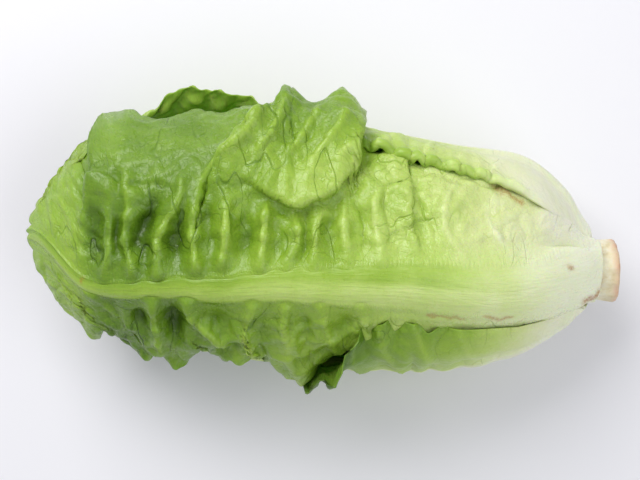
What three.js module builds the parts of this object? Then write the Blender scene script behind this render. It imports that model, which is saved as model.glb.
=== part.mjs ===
// A head of romaine lettuce lying on its side, as cut: a short stem and twenty loose leaves in six whorls.
// Units are millimetres. +X points along the head to the cut stem, +Y across it, +Z up, and the head rests
// on z = 0. Angles around the head start at +Y and turn towards +Z, so 90 degrees is the top of the head.
// Each leaf is one closed shell: a smooth blade with a rib that stands proud of its outer face.
import * as THREE from "three";

const HEAD_HALF_LENGTH = 125;
const BLADE_THICKNESS = 1.2;
const FIT_GAP = 0.6; // between a leaf's foot and the stem
const SHINGLE = 0.035; // share of the radius by which one margin of a leaf lies outside the other
const PRESSED_STEP = 2.7; // height that each whorl of pressed leaves takes up over the table

// Cross-sections of the whole head: place along X, centre (y, z) and half width and half height.
const SECTIONS = [
  { x: 130, y: -12, z: 32, wide: 13, high: 13 },
  { x: 118, y: -11.5, z: 32, wide: 15, high: 15 },
  { x: 108, y: -9, z: 33, wide: 21, high: 21 },
  { x: 98, y: -6.5, z: 35, wide: 31, high: 30 },
  { x: 84, y: -5.5, z: 38, wide: 41, high: 39.5 },
  { x: 64, y: -5.5, z: 41, wide: 47, high: 45.5 },
  { x: 38, y: -4.5, z: 43, wide: 51, high: 49 },
  { x: 8, y: -1.5, z: 43.5, wide: 54, high: 50 },
  { x: -24, y: 1.5, z: 43.5, wide: 55, high: 50 },
  { x: -52, y: 4, z: 42.5, wide: 53.5, high: 48.5 },
  { x: -76, y: 5, z: 41, wide: 50, high: 46 },
  { x: -96, y: 5, z: 38, wide: 44, high: 40 },
  { x: -112, y: 4.5, z: 34, wide: 35, high: 31 },
  { x: -126, y: 4, z: 30, wide: 24, high: 20 },
];

// Radius of the stem inside the head, from the cut face to its growing point.
const STEM = [
  { x: 125, radius: 12.9 },
  { x: 124, radius: 13.4 },
  { x: 118, radius: 12.9 },
  { x: 112, radius: 12.7 },
  { x: 102, radius: 12.4 },
  { x: 92, radius: 11.2 },
  { x: 82, radius: 9.4 },
  { x: 73, radius: 7.2 },
  { x: 65, radius: 4.6 },
  { x: 60, radius: 1.6 },
];

// How far a leaf reaches round the head on each side of its rib, in degrees, at shares of its length.
const EVEN_SPAN = [
  [0, 34],
  [0.1, 38],
  [0.25, 52],
  [0.45, 68],
  [0.7, 74],
  [0.9, 64],
  [1, 44],
];

const clamp01 = (v) => Math.min(1, Math.max(0, v));
const smooth = (v) => clamp01(v) ** 2 * (3 - 2 * clamp01(v));
const mix = (a, b, share) => a + (b - a) * share;

// Value of a list of [place, value] pairs at a place, on smooth steps between them.
function along(list, place) {
  if (place <= list[0][0]) return list[0][1];
  for (let i = 1; i < list.length; i++) {
    const [x0, v0] = list[i - 1];
    const [x1, v1] = list[i];
    if (place <= x1) return mix(v0, v1, smooth((place - x0) / (x1 - x0)));
  }
  return list[list.length - 1][1];
}

// One number of the head's cross-section at x, on a curve through the sections.
function sectionCurve(key) {
  const points = SECTIONS.map((s) => new THREE.Vector2(-s.x, s[key]));
  const samples = new THREE.SplineCurve(points).getPoints(240);
  return (x) => {
    const next = samples.findIndex((p) => p.x >= -x);
    if (next <= 0) return samples[next < 0 ? samples.length - 1 : 0].y;
    const [a, b] = [samples[next - 1], samples[next]];
    return mix(a.y, b.y, (-x - a.x) / (b.x - a.x));
  };
}
const centreY = sectionCurve("y");
const centreZ = sectionCurve("z");
const halfWidth = sectionCurve("wide");
const halfHeight = sectionCurve("high");
const stemRadius = (x) => -along(STEM.map((s) => [-s.x, -s.radius]), -x);

// Point of the head at x and an angle, share of the way out to its skin, and so many mm beyond that.
function headPoint(x, angle, share, beyond) {
  const a = THREE.MathUtils.degToRad(angle);
  return new THREE.Vector3(
    x,
    centreY(x) + (halfWidth(x) * share + beyond) * Math.cos(a),
    centreZ(x) + (halfHeight(x) * share + beyond) * Math.sin(a),
  );
}

// A closed mesh from two matching grids of points, outer[i][j] and inner[i][j], joined round their rims.
function shell(outer, inner) {
  const [rows, columns] = [outer.length, outer[0].length];
  const positions = [...outer.flat(), ...inner.flat()].flatMap((p) => p.toArray());
  const out = (i, j) => i * columns + j;
  const back = (i, j) => rows * columns + out(i, j);
  const faces = [];
  const quad = (a, b, c, d) => faces.push(a, b, c, a, c, d);
  for (let i = 0; i < rows - 1; i++) {
    for (let j = 0; j < columns - 1; j++) {
      quad(out(i, j), out(i + 1, j), out(i + 1, j + 1), out(i, j + 1));
      quad(back(i, j), back(i, j + 1), back(i + 1, j + 1), back(i + 1, j));
    }
    quad(out(i, 0), back(i, 0), back(i + 1, 0), out(i + 1, 0));
    const last = columns - 1;
    quad(out(i, last), out(i + 1, last), back(i + 1, last), back(i, last));
  }
  for (let j = 0; j < columns - 1; j++) {
    quad(out(0, j), out(0, j + 1), back(0, j + 1), back(0, j));
    const last = rows - 1;
    quad(out(last, j), back(last, j), back(last, j + 1), out(last, j + 1));
  }
  const geometry = new THREE.BufferGeometry();
  geometry.setAttribute("position", new THREE.Float32BufferAttribute(positions, 3));
  geometry.setIndex(faces);
  return geometry;
}

// How far, in mm, a leaf's margins stand off the head at (s, t).
function flareAt(name, s, t) {
  const flares = (FLARES[name] || []).filter((flare) => flare.side * t > 0);
  const height = (flare) => flare.out * smooth(1 - Math.abs(s - flare.at) / flare.reach);
  return flares.reduce((sum, flare) => sum + height(flare) * Math.abs(t) ** 3, 0);
}

// A leaf's place on the head at (s, t): s runs from its foot, 0, to its tip, 1, and t across it from
// -1 to 1. share is how far out its inner face lies, off is how far it stands off, and thick its thickness.
function leafAt(leaf, s, t) {
  const length = leaf.foot - leaf.tip;
  const shorter = leaf.round * Math.abs(t) ** 2.2 * smooth(s) * length;
  const x = leaf.foot - length * s + shorter * s;
  const span = along(t < 0 ? leaf.spanBelow : leaf.spanAbove, s);
  const rib = along(leaf.ribPath, s);
  const fromFoot = leaf.foot - x;
  const out = mix(leaf.share, leaf.tipShare, smooth((s - 0.35) / 0.5)) + SHINGLE * leaf.shingle * t;
  const reach = (halfWidth(x) + halfHeight(x)) / 2;
  const settle = smooth(fromFoot / leaf.footLength);
  const share = mix((stemRadius(leaf.foot) + FIT_GAP) / reach, out, settle);
  const acrossMm = THREE.MathUtils.degToRad(Math.abs(t) * span) * reach * share;
  const ribWidth = mix(leaf.ribWidth, leaf.ribWidth * 0.16, s);
  const ribHeight = leaf.ribHeight * mix(1, 0.12, s ** 0.7);
  const thick = BLADE_THICKNESS + ribHeight * Math.exp(-((acrossMm / ribWidth) ** 2));
  return { x, angle: rib + t * span, share, thick, off: flareAt(leaf.name, s, t) };
}

function leafGeometry(leaf) {
  const outer = [];
  const inner = [];
  for (let i = 0; i <= leaf.rows; i++) {
    const outerRow = [];
    const innerRow = [];
    for (let j = 0; j <= leaf.columns; j++) {
      const at = leafAt(leaf, i / leaf.rows, (2 * j) / leaf.columns - 1);
      const face = headPoint(at.x, at.angle, at.share, at.off + at.thick);
      const back = headPoint(at.x, at.angle, at.share, at.off);
      face.z = Math.max(face.z, leaf.pressed);
      back.z = Math.max(back.z, leaf.pressed + BLADE_THICKNESS);
      outerRow.push(face);
      innerRow.push(back);
    }
    outer.push(outerRow);
    inner.push(innerRow);
  }
  return shell(outer, inner);
}

// Whorls from the outside in: the angle of each leaf's rib, and how far along X its tip lies.
const WHORLS = [
  { name: "outer", angles: [190, 272, 352], tips: [-112, -108, -100] },
  { name: "second", angles: [44, 135, 232, 318], tips: [-101, -106, -98, -94] },
  { name: "third", angles: [90, 182, 270, 2], tips: [-92, -88, -84, -80] },
  { name: "fourth", angles: [55, 172, 292], tips: [-74, -70, -66] },
  { name: "fifth", angles: [110, 232, 350], tips: [-56, -52, -46] },
  { name: "heart", angles: [60, 240], tips: [-34, -26] },
];

// The leaves of each whorl overlap like shingles, each with one margin under the next. share is how far out
// a whorl lies along its stalks and tipShare towards its tips, foot is where it leaves the stem, and
// footLength is how far along it is before it lies on the leaves inside it.
const WHORL_SHAPES = [
  { share: 0.9, tipShare: 0.97, foot: 114, footLength: 13, ribHeight: 4.6, ribWidth: 15 },
  { share: 0.77, tipShare: 0.82, foot: 103, footLength: 28, ribHeight: 3.4, ribWidth: 12 },
  { share: 0.645, tipShare: 0.68, foot: 93, footLength: 27, ribHeight: 2.6, ribWidth: 9.5 },
  { share: 0.51, tipShare: 0.54, foot: 83, footLength: 22, ribHeight: 2.2, ribWidth: 8 },
  { share: 0.375, tipShare: 0.4, foot: 74, footLength: 19, ribHeight: 1.8, ribWidth: 6.5 },
  { share: 0.235, tipShare: 0.25, foot: 66, footLength: 15, ribHeight: 1.2, ribWidth: 4.5 },
];

// Spans of the leaves that lie against the table or whose margins show, in place of the even ones.
// They keep the pressed part of the lowest leaf clear of its neighbours' margins.
const SPANS = {
  outer_leaf_1: {
    below: [[0, 34], [0.1, 38], [0.25, 44], [0.48, 44], [0.6, 66], [0.85, 66], [1, 44]],
    above: [[0, 34], [0.1, 38], [0.25, 48], [0.5, 50], [1, 44]],
  },
  outer_leaf_2: {
    below: [[0, 34], [0.1, 38], [0.25, 52], [0.5, 66], [0.85, 64], [1, 44]],
    above: [[0, 34], [0.1, 38], [0.25, 48], [0.5, 56], [0.85, 56], [1, 44]],
  },
  outer_leaf_3: {
    below: [[0, 34], [0.1, 38], [0.25, 48], [0.5, 50], [1, 44]],
    above: [[0, 34], [0.1, 38], [0.25, 50], [0.46, 58], [0.6, 24], [0.85, 24], [1, 22]],
  },
  second_leaf_3: {
    below: [[0, 34], [0.1, 38], [0.25, 48], [0.5, 56], [0.85, 56], [1, 40]],
    above: [[0, 34], [0.1, 36], [0.25, 40], [0.5, 40], [1, 36]],
  },
  second_leaf_4: {
    below: [[0, 34], [0.1, 36], [0.25, 42], [0.5, 42], [1, 38]],
    above: [[0, 34], [0.1, 38], [0.25, 50], [0.5, 60], [0.85, 58], [1, 40]],
  },
};

// Margins that stand off the head: side of the leaf, share of its length where they stand off most, how far
// along that reaches, and by how much in mm.
const FLARES = {
  top_leaf: [
    { side: -1, at: 0.525, reach: 0.13, out: 9 },
    { side: 1, at: 0.53, reach: 0.12, out: 10.2 },
  ],
  outer_leaf_3: [{ side: 1, at: 0.76, reach: 0.22, out: 8 }],
};
const WHORL_COLOURS = [0x86ab3e, 0x97b84a, 0xb0c966, 0xc6d887, 0xd8e3a2, 0xe6ebbb];

// The even spans, widened where a whorl has few leaves to go round.
function evenSpans(count) {
  const wider = { 2: 1.28, 3: 1.12, 4: 1 }[count];
  return EVEN_SPAN.map(([s, span]) => [s, span * mix(1, wider, smooth(s / 0.3))]);
}

function whorlLeaves(whorl, level) {
  const even = evenSpans(whorl.angles.length);
  return whorl.angles.map((angle, i) => {
    const name = whorl.name + "_leaf_" + (i + 1);
    return {
      ...WHORL_SHAPES[level],
      name,
      ribPath: [[0, angle], [1, angle - 6]],
      shingle: 1,
      tip: whorl.tips[i],
      round: 0.12,
      spanBelow: SPANS[name]?.below || even,
      spanAbove: SPANS[name]?.above || even,
      pressed: level * PRESSED_STEP,
      rows: level < 2 ? 13 : 10,
      columns: level < 1 ? 10 : 8,
      colour: WHORL_COLOURS[level],
    };
  });
}

// The leaf on top of the head, outside all the others. Its rib side is uppermost and runs a little below the
// middle, with a bend near the tip. The blade is narrow along the stalk and spreads round the head towards
// the tip, with a lobe that stands off on each side half-way along.
const TOP_LEAF = {
  name: "top_leaf",
  ribPath: [[0, 96], [0.06, 109], [0.13, 111], [0.35, 107], [0.53, 110], [0.7, 115.5], [0.87, 121], [1, 92]],
  share: 0.985,
  tipShare: 1.03,
  shingle: 0,
  foot: 117,
  footLength: 14,
  tip: -HEAD_HALF_LENGTH,
  round: 0.1,
  spanBelow: [
    ...[[0, 38], [0.07, 52], [0.3, 60], [0.41, 64], [0.5, 93], [0.6, 88]],
    ...[[0.72, 90], [0.84, 104], [0.9, 80], [0.95, 70], [1, 50]],
  ],
  spanAbove: [
    ...[[0, 38], [0.08, 38], [0.2, 28], [0.42, 28], [0.49, 74]],
    ...[[0.56, 76], [0.68, 62], [0.87, 54], [1, 56]],
  ],
  ribWidth: 15,
  ribHeight: 5.5,
  pressed: 0,
  rows: 20,
  columns: 14,
  colour: 0x7fa637,
};

function stemGeometry() {
  const sides = 20;
  const positions = [];
  const faces = [];
  const centre = (x) => [x, centreY(x), centreZ(x)];
  positions.push(...centre(STEM[0].x));
  for (const ring of STEM) {
    for (let k = 0; k < sides; k++) {
      const a = (2 * Math.PI * k) / sides;
      const [x, y, z] = centre(ring.x);
      positions.push(x, y + ring.radius * Math.cos(a), z + ring.radius * Math.sin(a));
    }
  }
  positions.push(...centre(STEM[STEM.length - 1].x - 1));
  const last = positions.length / 3 - 1;
  const at = (ring, k) => 1 + ring * sides + (k % sides);
  for (let k = 0; k < sides; k++) {
    faces.push(0, at(0, k), at(0, k + 1));
    for (let ring = 0; ring < STEM.length - 1; ring++) {
      faces.push(at(ring, k), at(ring + 1, k), at(ring + 1, k + 1));
      faces.push(at(ring, k), at(ring + 1, k + 1), at(ring, k + 1));
    }
    faces.push(last, at(STEM.length - 1, k + 1), at(STEM.length - 1, k));
  }
  const geometry = new THREE.BufferGeometry();
  geometry.setAttribute("position", new THREE.Float32BufferAttribute(positions, 3));
  geometry.setIndex(faces);
  return geometry;
}

function addPiece(group, name, geometry, colour) {
  const material = new THREE.MeshStandardMaterial({ color: colour, roughness: 0.45, metalness: 0 });
  const mesh = new THREE.Mesh(geometry, material);
  mesh.name = name;
  group.add(mesh);
}

const lettuce = new THREE.Group();
addPiece(lettuce, "stem", stemGeometry(), 0xe3dcb8);
const leaves = [TOP_LEAF, ...WHORLS.flatMap(whorlLeaves)];
for (const leaf of leaves) addPiece(lettuce, leaf.name, leafGeometry(leaf), leaf.colour);

export default lettuce;
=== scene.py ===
"""A head of romaine lettuce lying on its side, laid out as a Blender add-on and run as a script.

Leaf sizes are worked out in millimetres and become metres when a mesh is made. Angles around the head
are in degrees from +Y towards +Z, so 90 is the top of the head. Every leaf is a sheet over the head's
cross-sections, crinkled by a geometry node tree and then given its thickness and its rib.
"""
import math

import bpy
import numpy as np
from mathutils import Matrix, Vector


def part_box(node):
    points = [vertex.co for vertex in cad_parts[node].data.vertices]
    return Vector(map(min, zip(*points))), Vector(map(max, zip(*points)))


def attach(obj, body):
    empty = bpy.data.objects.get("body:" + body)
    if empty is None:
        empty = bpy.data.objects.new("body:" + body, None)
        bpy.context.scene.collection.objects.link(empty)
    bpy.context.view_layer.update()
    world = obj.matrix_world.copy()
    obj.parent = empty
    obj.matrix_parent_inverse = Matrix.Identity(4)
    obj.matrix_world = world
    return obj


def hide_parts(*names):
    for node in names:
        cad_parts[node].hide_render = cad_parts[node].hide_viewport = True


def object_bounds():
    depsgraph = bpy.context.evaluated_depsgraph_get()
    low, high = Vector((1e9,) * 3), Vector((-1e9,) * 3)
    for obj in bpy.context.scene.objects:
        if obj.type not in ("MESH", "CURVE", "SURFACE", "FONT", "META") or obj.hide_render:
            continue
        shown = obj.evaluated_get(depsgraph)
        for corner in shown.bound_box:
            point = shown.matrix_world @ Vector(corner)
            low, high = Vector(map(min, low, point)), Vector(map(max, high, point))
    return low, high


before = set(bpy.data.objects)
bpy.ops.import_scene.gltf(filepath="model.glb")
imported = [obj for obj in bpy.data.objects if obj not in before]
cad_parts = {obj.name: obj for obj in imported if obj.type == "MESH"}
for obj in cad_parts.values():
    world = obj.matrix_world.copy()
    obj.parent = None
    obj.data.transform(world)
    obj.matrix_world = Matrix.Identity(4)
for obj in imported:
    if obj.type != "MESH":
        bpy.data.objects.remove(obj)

bl_info = {
    "name": "Romaine Lettuce Head",
    "version": (1, 0, 0),
    "blender": (4, 5, 0),
    "location": "View3D > Sidebar > Lettuce",
    "description": "Makes a head of romaine lettuce leaf by leaf on its packed frame",
    "category": "Add Mesh",
}

MM = 0.001
CAD_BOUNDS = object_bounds()

# Cross-sections of the whole head: place along X, centre y and z, half width and half height.
SECTIONS = np.array([
    (130, -12, 32, 13, 13),
    (118, -11.5, 32, 15, 15),
    (108, -9, 33, 21, 21),
    (98, -6.5, 35, 31, 30),
    (84, -5.5, 38, 41, 39.5),
    (64, -5.5, 41, 47, 45.5),
    (38, -4.5, 43, 51, 49),
    (8, -1.5, 43.5, 54, 50),
    (-24, 1.5, 43.5, 55, 50),
    (-52, 4, 42.5, 53.5, 48.5),
    (-76, 5, 41, 50, 46),
    (-96, 5, 38, 44, 40),
    (-112, 4.5, 34, 35, 31),
    (-126, 4, 30, 24, 20),
], float)

# Radius of the stem from the cut face to its growing point: place along X, radius.
STEM_RINGS = (
    (125, 12.9), (124, 13.4), (118, 12.9), (112, 12.7), (102, 12.4),
    (92, 11.2), (82, 9.4), (73, 7.2), (65, 4.6), (60, 1.6),
)

# Space in mm between the stem and the feet of the leaves.
FIT_GAP = 0.6
# How much further out one margin of a leaf lies than its rib, and the other further in, as a share.
SHINGLE = 0.035
# How much higher each whorl inwards is pressed flat, in mm.
PRESSED_STEP = 2.7
# Rows along the stem's side, rings on its cut face, and points round it.
STEM_GRID = (60, 26, 112)
TOP_LEAF_GRID = (256, 188)


# ---------------------------------------------------------------- numbers

def smooth(v):
    """A step from 0 to 1 that starts and ends level."""
    v = np.clip(v, 0, 1)
    return v * v * (3 - 2 * v)


def mix(a, b, share):
    return a + (b - a) * share


def along(pairs, place):
    """Value of a list of (place, value) pairs at a place, on smooth steps between them."""
    places, values = np.array(pairs, float).T
    i = np.clip(np.searchsorted(places, place, side="left") - 1, 0, len(places) - 2)
    share = smooth((place - places[i]) / (places[i + 1] - places[i]))
    return mix(values[i], values[i + 1], share)


def curve_through(points, steps):
    """Points of a smooth curve through a few points, with so many steps between neighbours."""
    p = np.array(points, float)
    before = np.vstack([p[:1], p[:-2]]) if len(p) > 2 else p[:1]
    after = np.vstack([p[2:], p[-1:]]) if len(p) > 2 else p[-1:]
    parts = []
    for i in range(len(p) - 1):
        w = np.linspace(0, 1, steps, endpoint=False)[:, None]
        v0 = (p[i + 1] - before[i]) / 2
        v1 = (after[i] - p[i]) / 2
        cubic = (2 * p[i] - 2 * p[i + 1] + v0 + v1) * w ** 3
        square = (-3 * p[i] + 3 * p[i + 1] - 2 * v0 - v1) * w ** 2
        parts.append(cubic + square + v0 * w + p[i])
    return np.vstack(parts + [p[-1:]])


HEAD_CURVE = curve_through(SECTIONS * (-1, 1, 1, 1, 1), 18)


def head_at(x):
    """Centre y and z, half width and half height of the head at x."""
    return [np.interp(-x, HEAD_CURVE[:, 0], HEAD_CURVE[:, k]) for k in (1, 2, 3, 4)]


def stem_radius(x):
    return along([(-place, radius) for place, radius in STEM_RINGS], -np.asarray(x, float))


def lumps(u, v, size, seed):
    """Smooth random heights from -1 to 1 over the plane (u, v), in lumps of about that size."""
    table = np.random.default_rng(seed).uniform(-1, 1, (64, 64))
    a, b = u / size, v / size
    i, j = np.floor(a).astype(int), np.floor(b).astype(int)
    fa, fb = smooth(a - i), smooth(b - j)
    low = mix(table[i % 64, j % 64], table[(i + 1) % 64, j % 64], fa)
    high = mix(table[i % 64, (j + 1) % 64], table[(i + 1) % 64, (j + 1) % 64], fa)
    return mix(low, high, fb)


def near_line(x, y, points):
    """Signed distance from a smooth line, plus on its left, the share along it, and its left normal."""
    line = curve_through(points, 6)
    lengths = np.hypot(*np.diff(line, axis=0).T)
    starts = np.concatenate([[0], np.cumsum(lengths)])
    best = np.full(np.shape(x), 1e9)
    share = np.zeros(np.shape(x))
    side = np.ones(np.shape(x))
    normal = np.zeros(np.shape(x) + (2,))
    for k, (a, b) in enumerate(zip(line[:-1], line[1:])):
        d = b - a
        w = np.clip(((x - a[0]) * d[0] + (y - a[1]) * d[1]) / (d @ d), 0, 1)
        gap_x, gap_y = x - a[0] - w * d[0], y - a[1] - w * d[1]
        distance = np.hypot(gap_x, gap_y)
        closer = distance < best
        best = np.where(closer, distance, best)
        share = np.where(closer, (starts[k] + w * lengths[k]) / starts[-1], share)
        side = np.where(closer, np.sign(d[0] * gap_y - d[1] * gap_x + 1e-12), side)
        normal[closer] = (-d[1] / lengths[k], d[0] / lengths[k])
    return best * side, share, normal


# ---------------------------------------------------------------- leaf forms

EVEN_SPAN = ((0, 34), (0.1, 38), (0.25, 52), (0.45, 68), (0.7, 74), (0.9, 64), (1, 44))
WIDER = {2: 1.28, 3: 1.12, 4: 1}

# Whorls from the outside in: rib angles, the shares of the radius that they lie at, how long they take to
# leave the stem, their ribs, and the rows and columns of each leaf's sheet.
WHORLS = {
    "outer": dict(angles=(190, 272, 352), share=0.9, tip_share=0.97, foot_length=13,
                  rib=4.6, rib_width=15, grid=(190, 130)),
    "second": dict(angles=(44, 135, 232, 318), share=0.77, tip_share=0.78, foot_length=28,
                   rib=3.4, rib_width=12, grid=(90, 70)),
    "third": dict(angles=(90, 182, 270, 2), share=0.645, tip_share=0.68, foot_length=27,
                  rib=2.6, rib_width=9.5, grid=(60, 50)),
    "fourth": dict(angles=(55, 172, 292), share=0.51, tip_share=0.54, foot_length=22,
                   rib=2.2, rib_width=8, grid=(50, 42)),
    "fifth": dict(angles=(110, 232, 350), share=0.375, tip_share=0.4, foot_length=19,
                  rib=1.8, rib_width=6.5, grid=(44, 36)),
    "heart": dict(angles=(60, 240), share=0.235, tip_share=0.25, foot_length=15,
                  rib=1.2, rib_width=4.5, grid=(40, 30)),
}

# Leaves that differ from their whorl: where the tip lies, and how strongly the margin is frilled.
TIP_SHARES = {"outer_leaf_1": 0.9}
FRILLS = {"outer_leaf_3": 0.35}

# Spans of the leaves that lie against the table or whose margins show, in place of the even ones.
SPANS = {
    "outer_leaf_1": (((0, 34), (0.1, 38), (0.25, 44), (0.48, 44), (0.6, 66), (0.85, 66), (1, 44)),
                     ((0, 34), (0.1, 38), (0.25, 48), (0.5, 50), (1, 44))),
    "outer_leaf_2": (((0, 34), (0.1, 38), (0.25, 52), (0.5, 66), (0.85, 64), (1, 44)),
                     ((0, 34), (0.1, 38), (0.25, 48), (0.5, 56), (0.85, 56), (1, 44))),
    "outer_leaf_3": (((0, 34), (0.1, 38), (0.25, 48), (0.5, 50), (1, 44)),
                     ((0, 34), (0.1, 38), (0.25, 50), (0.46, 58), (0.6, 24), (0.85, 24), (1, 22))),
    "second_leaf_3": (((0, 34), (0.1, 38), (0.25, 48), (0.5, 56), (0.85, 56), (1, 40)),
                      ((0, 34), (0.1, 36), (0.25, 40), (0.5, 40), (1, 36))),
    "second_leaf_4": (((0, 34), (0.1, 36), (0.25, 42), (0.5, 42), (1, 38)),
                      ((0, 34), (0.1, 38), (0.25, 50), (0.5, 60), (0.85, 58), (1, 40))),
}

# Margins of outer leaves that show from above: the side that they are on, where the line takes over from
# the plain span and over what length, how far the margin stands off, its flares as place, reach and height,
# its rolled bead, its bulges as place, reach, height and share of the width, its ruffles as place, reach,
# height and wave length, and the line itself as places along X and Y.
SHOWN_MARGINS = {
    "outer_leaf_1": dict(
        side=-1, start=-20, fade=7, lift=6.5, flares=((0, 20, 13),), bead=0.0, scallop=0.3,
        bulges=((20, 46, 5.0, 0.4), (62, 40, 2.0, 0.3)), ruffle=((3, 18, 3.0, 10), (44, 24, 1.8, 17)),
        line=((-20, -60), (-14, -60), (-9, -57), (-5, -52), (0, -49), (5, -46), (9, -42), (12, -38.5),
              (15, -37), (19, -35.5), (23.8, -33), (30, -33), (36.5, -34.5), (40, -37.5),
              (47, -36), (56.7, -36.5),
              (77.4, -35.5), (93.4, -32), (106, -26), (117, -21))),
    "outer_leaf_3": dict(
        side=1, start=-4, fade=10, lift=4.2,
        flares=((-62, 18, 9), (-42, 24, 8), (-22, 12, 4)), bead=2.5, scallop=0.0,
        bulges=((86, 34, 2.6, 0.25), (30, 40, 1.5, 0.3)),
        ruffle=((30, 30, 2.0, 8), (60, 26, 0.8, 6.5), (-46, 24, 0.6, 18)),
        line=((-4, 46), (13, 38.5), (24, 33.6), (32, 31), (45, 27.9), (62, 23.4), (74, 19.6), (87, 13),
              (99.7, 6), (110, 0), (117, -5))),
}


def whorl_leaf(whorl, number):
    """Form of one leaf of a whorl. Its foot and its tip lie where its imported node's do."""
    name = f"{whorl}_leaf_{number}"
    shape = WHORLS[whorl]
    level = list(WHORLS).index(whorl)
    wider = WIDER[len(shape["angles"])]
    even = [(s, span * mix(1, wider, float(smooth(s / 0.3)))) for s, span in EVEN_SPAN]
    angle = shape["angles"][number - 1]
    low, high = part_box(name)
    spans = SPANS.get(name, (even, even))
    tip_share = TIP_SHARES.get(name, shape["tip_share"])
    return dict(
        name=name, slot=whorl + "_leaf", level=level, seed=level * 10 + number,
        rib_path=((0, angle), (1, angle - 6)), share=shape["share"], tip_share=tip_share, shingle=1,
        foot=high.x / MM, tip=low.x / MM, foot_length=shape["foot_length"], round=0.12,
        span_low=spans[0], span_high=spans[1], rib=shape["rib"], rib_width=shape["rib_width"],
        pressed=level * PRESSED_STEP, shown=SHOWN_MARGINS.get(name),
    )


# The top leaf's margins seen from above: place along X, and Y there.
TOP_MARGIN_FAR = ((-125, 34), (-99, 34), (-97, 40), (-94, 48), (-89, 52), (-84, 52.5), (-73, 51),
                  (-60, 53), (-50, 54), (-38, 54), (-26, 54), (-20, 57), (-14, 60.5), (-10, 58), (-6, 54),
                  (0, 55), (7, 58.5), (11, 56), (14, 49), (17.5, 39.5), (22, 36), (29, 34), (33, 34.5),
                  (36, 31.5), (49, 29.7), (66, 27.2), (77.4, 22.1), (88.3, 16.2), (101.8, 8.6), (111.5, 1),
                  (117, -2))
TOP_MARGIN_NEAR = ((-125, -37), (-100.8, -38), (-95.5, -41), (-89, -38), (-83.7, -43), (-78, -47),
                   (-73, -49),
                   (-68, -47.5), (-64, -52), (-59, -53), (-56, -49), (-48, -47.5), (-41, -50), (-35, -50),
                   (-29, -49), (-24, -53), (-18, -57), (-10, -60), (-6, -59), (-3, -56), (1, -52), (6, -48),
                   (18.8, -42), (36.5, -40), (56.7, -40.5), (77.4, -39), (93.4, -35), (106, -26.5),
                   (117, -21))


def top_leaf_form():
    low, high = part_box("top_leaf")
    return dict(
        name="top_leaf", slot="top_leaf", level=-1, seed=7,
        rib_path=((0, 96), (0.06, 109), (0.13, 111), (0.35, 107),
                  (0.53, 110), (0.7, 115.5), (0.87, 121.5), (1, 92)),
        share=0.985, tip_share=1.03, shingle=0, foot=high.x / MM, tip=low.x / MM,
        foot_length=14, round=0.1, blunt=4,
        margins=(TOP_MARGIN_FAR, TOP_MARGIN_NEAR), rib=6.2, rib_width=16, pressed=0, shown=None,
    )


def share_at(leaf, x, s, t):
    """How far out a leaf's inner face lies, as a share of the head's radius."""
    _, _, wide, high = head_at(x)
    reach = (wide + high) / 2
    out = mix(leaf["share"], leaf["tip_share"], smooth((s - 0.35) / 0.5)) + SHINGLE * leaf["shingle"] * t
    settle = smooth((leaf["foot"] - x) / leaf["foot_length"])
    return mix((stem_radius(leaf["foot"]) + FIT_GAP) / reach, out, settle), reach


def margin_angle(leaf, s, t_end):
    """Angle of a margin given by where it lies seen from above, and how far it stands off there."""
    length = leaf["foot"] - leaf["tip"]
    x = leaf["foot"] - length * s + leaf["round"] * smooth(s) * length * s
    centre, _, wide, _ = head_at(x)
    share, _ = share_at(leaf, x, s, t_end)
    skin = wide * share + 1.5
    y = np.interp(x, *np.array(leaf["margins"][0 if t_end < 0 else 1]).T)
    lobes = np.abs(np.sin(np.pi * (x / 9.5 + 0.45 * lumps(x, x * 0, 14, 21)))) - 0.4
    y = y - t_end * np.where(x < 20, 2.4 if t_end > 0 else 1.0, 0.6) * lobes
    reach = (y - centre) / skin
    return np.degrees(np.arccos(np.clip(reach, -0.985, 0.985))), skin * np.maximum(np.abs(reach) - 0.985, 0)


def shown_margin(leaf, edge, x, s, t, rib, span):
    """Span of a leaf whose margin follows a line seen from above, and how far its blade stands off."""
    on_side = t * edge["side"] > 0
    here = smooth((x - edge["start"]) / edge["fade"])
    centre, _, wide, _ = head_at(x)
    share, _ = share_at(leaf, x, s, np.full(np.shape(x), float(edge["side"])))
    y = np.interp(x, *np.array(edge["line"]).T)
    skin = wide * share + edge["lift"] * smooth((leaf["foot"] - x) / 30)
    end = np.degrees(np.arccos(np.clip((y - centre) / skin, -0.99, 0.99)))
    wanted = np.mod(edge["side"] * (end - rib), 360)
    span = np.where(on_side, mix(span, wanted, here), span)
    off = edge["lift"] * here * smooth((leaf["foot"] - x) / 30) * smooth((np.abs(t) - 0.35) / 0.4)
    for at, reach, out in edge["flares"]:
        off = off + out * smooth(1 - np.abs(x - at) / reach) * np.abs(t) ** 3
    for at, reach, out, place in edge["bulges"]:
        sway = 0.4 * lumps(x, x * 0, 15, leaf["seed"] + 8)
        scallop = 1 + edge["scallop"] * np.sin(2 * np.pi * (x / 13 + sway))
        bell = np.exp(-((np.abs(t) - place) / 0.3) ** 2)
        off = off + out * scallop * smooth(1 - np.abs(x - at) / reach) * bell
    run = leaf["foot"] - x
    for at, reach, height, wave in edge["ruffle"]:
        swing = np.sin(2 * np.pi * (run / wave + 0.8 * lumps(run, x * 0, 1.3 * wave, leaf["seed"] + 9)))
        off = off + height * smooth(1 - np.abs(x - at) / reach) * np.abs(t) ** 5 * swing
    return span, np.where(on_side, off, 0)


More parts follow.
